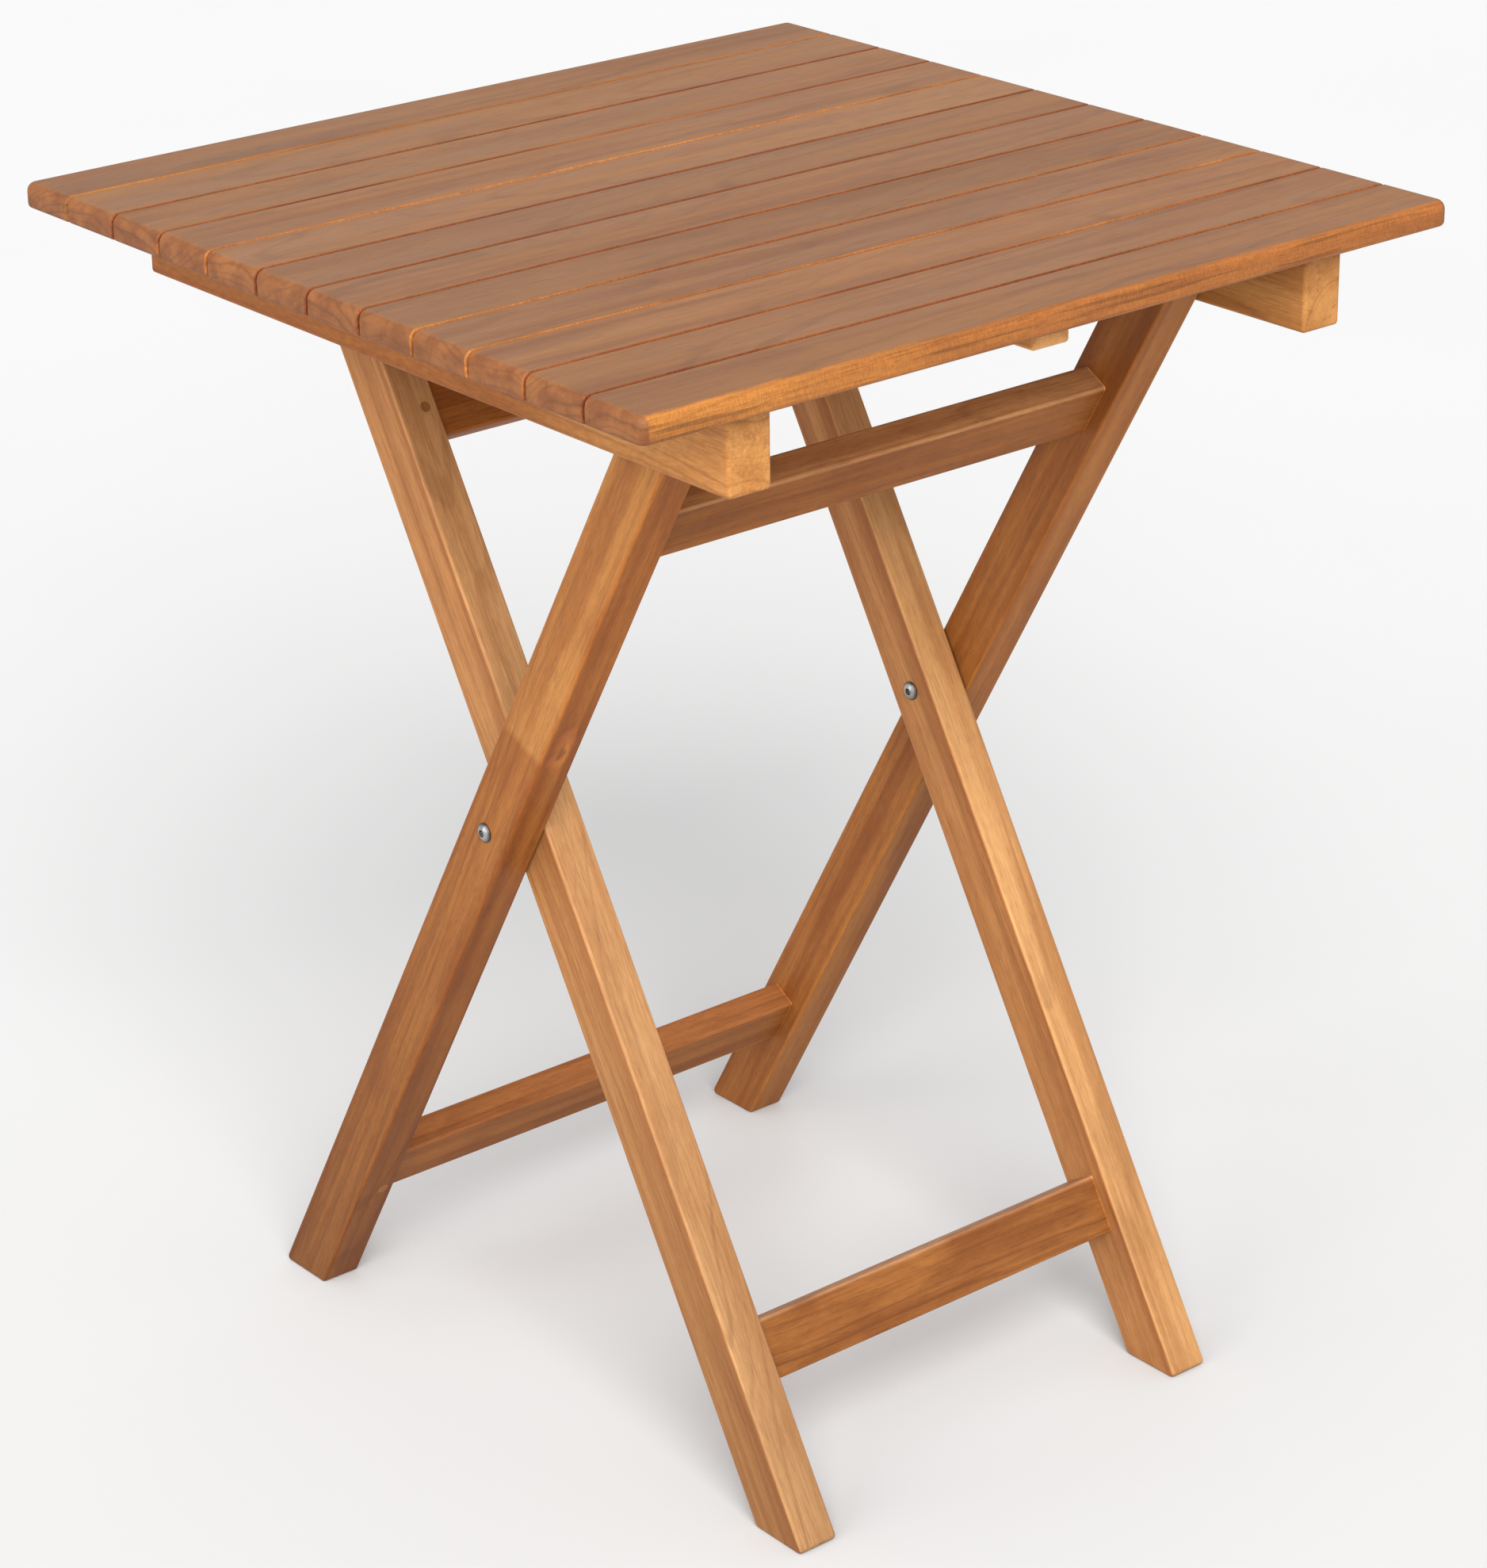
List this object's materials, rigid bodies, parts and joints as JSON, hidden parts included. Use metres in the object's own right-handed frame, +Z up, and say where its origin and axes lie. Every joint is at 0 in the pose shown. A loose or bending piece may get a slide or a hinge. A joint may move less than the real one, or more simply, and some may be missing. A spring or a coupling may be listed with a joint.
{
  "type": "folding picnic table",
  "caption": "Square hardwood folding table: slatted top hinged on one leg frame and resting on the other, the two frames crossed on bolted pivots.",
  "frame": {"origin": "floor level under the middle of the top, at the middle of the bounding box's base", "axes": "+Z up; +X along the slats and the pivot axes; -Y the edge the top hinges near, +Y the edge that lifts"},
  "size_m": [0.6, 0.598, 0.75],
  "materials": {
    "top_wood": "oiled hardwood, dry and slightly dusty",
    "batten_wood": "oiled hardwood, satin",
    "leg_wood": "oiled hardwood, satin",
    "rail_wood": "oiled hardwood, satin",
    "peg_wood": "end grain, oiled",
    "stainless": "polished stainless",
    "plated_steel": "plated steel",
    "brass": "turned brass"
  },
  "bodies": {
    "outer_frame": {"outer_leg_left": "leg_wood", "outer_leg_right": "leg_wood", "outer_upper_rail": "rail_wood", "outer_lower_rail": "rail_wood", "outer_upper_peg_left": "peg_wood", "outer_upper_peg_right": "peg_wood", "outer_lower_peg_left": "peg_wood", "outer_lower_peg_right": "peg_wood", "pivot_bolt_left": "stainless", "pivot_bolt_right": "stainless", "pivot_nut_left": "stainless", "pivot_nut_right": "stainless", "pivot_washer_left": "plated_steel", "pivot_washer_right": "plated_steel", "top_pivot_washer_left": "plated_steel", "top_pivot_washer_right": "plated_steel"},
    "inner_frame": {"inner_leg_left": "leg_wood", "inner_leg_right": "leg_wood", "inner_upper_rail": "rail_wood", "inner_lower_rail": "rail_wood", "inner_upper_peg_left": "peg_wood", "inner_upper_peg_right": "peg_wood", "inner_lower_peg_left": "peg_wood", "inner_lower_peg_right": "peg_wood"},
    "top": {"slat_01": "top_wood", "slat_02": "top_wood", "slat_03": "top_wood", "slat_04": "top_wood", "slat_05": "top_wood", "slat_06": "top_wood", "slat_07": "top_wood", "slat_08": "top_wood", "slat_09": "top_wood", "slat_10": "top_wood", "slat_11": "top_wood", "slat_12": "top_wood", "batten_left": "batten_wood", "batten_middle": "batten_wood", "batten_right": "batten_wood", "stop_cleat_left": "batten_wood", "stop_cleat_right": "batten_wood", "batten_screws_left": "plated_steel", "batten_screws_middle": "plated_steel", "batten_screws_right": "plated_steel", "top_pivot_insert_left": "brass", "top_pivot_insert_right": "brass", "top_pivot_bolt_left": "stainless", "top_pivot_bolt_right": "stainless"}
  },
  "joints": [
    {"name": "top_tilt", "type": "hinge", "parent": "outer_frame", "child": "top", "pos_m": [0, -0.1874, 0.71], "axis": [1, 0, 0], "range_deg": [0, 119.8]},
    {"name": "leg_fold", "type": "hinge", "parent": "outer_frame", "child": "inner_frame", "pos_m": [0, -0.007, 0.395], "axis": [1, 0, 0], "range_deg": [0, 52]}
  ],
  "couplings": [
    {"joint": "leg_fold", "follows": "top_tilt", "ratio": 0.434}
  ]
}
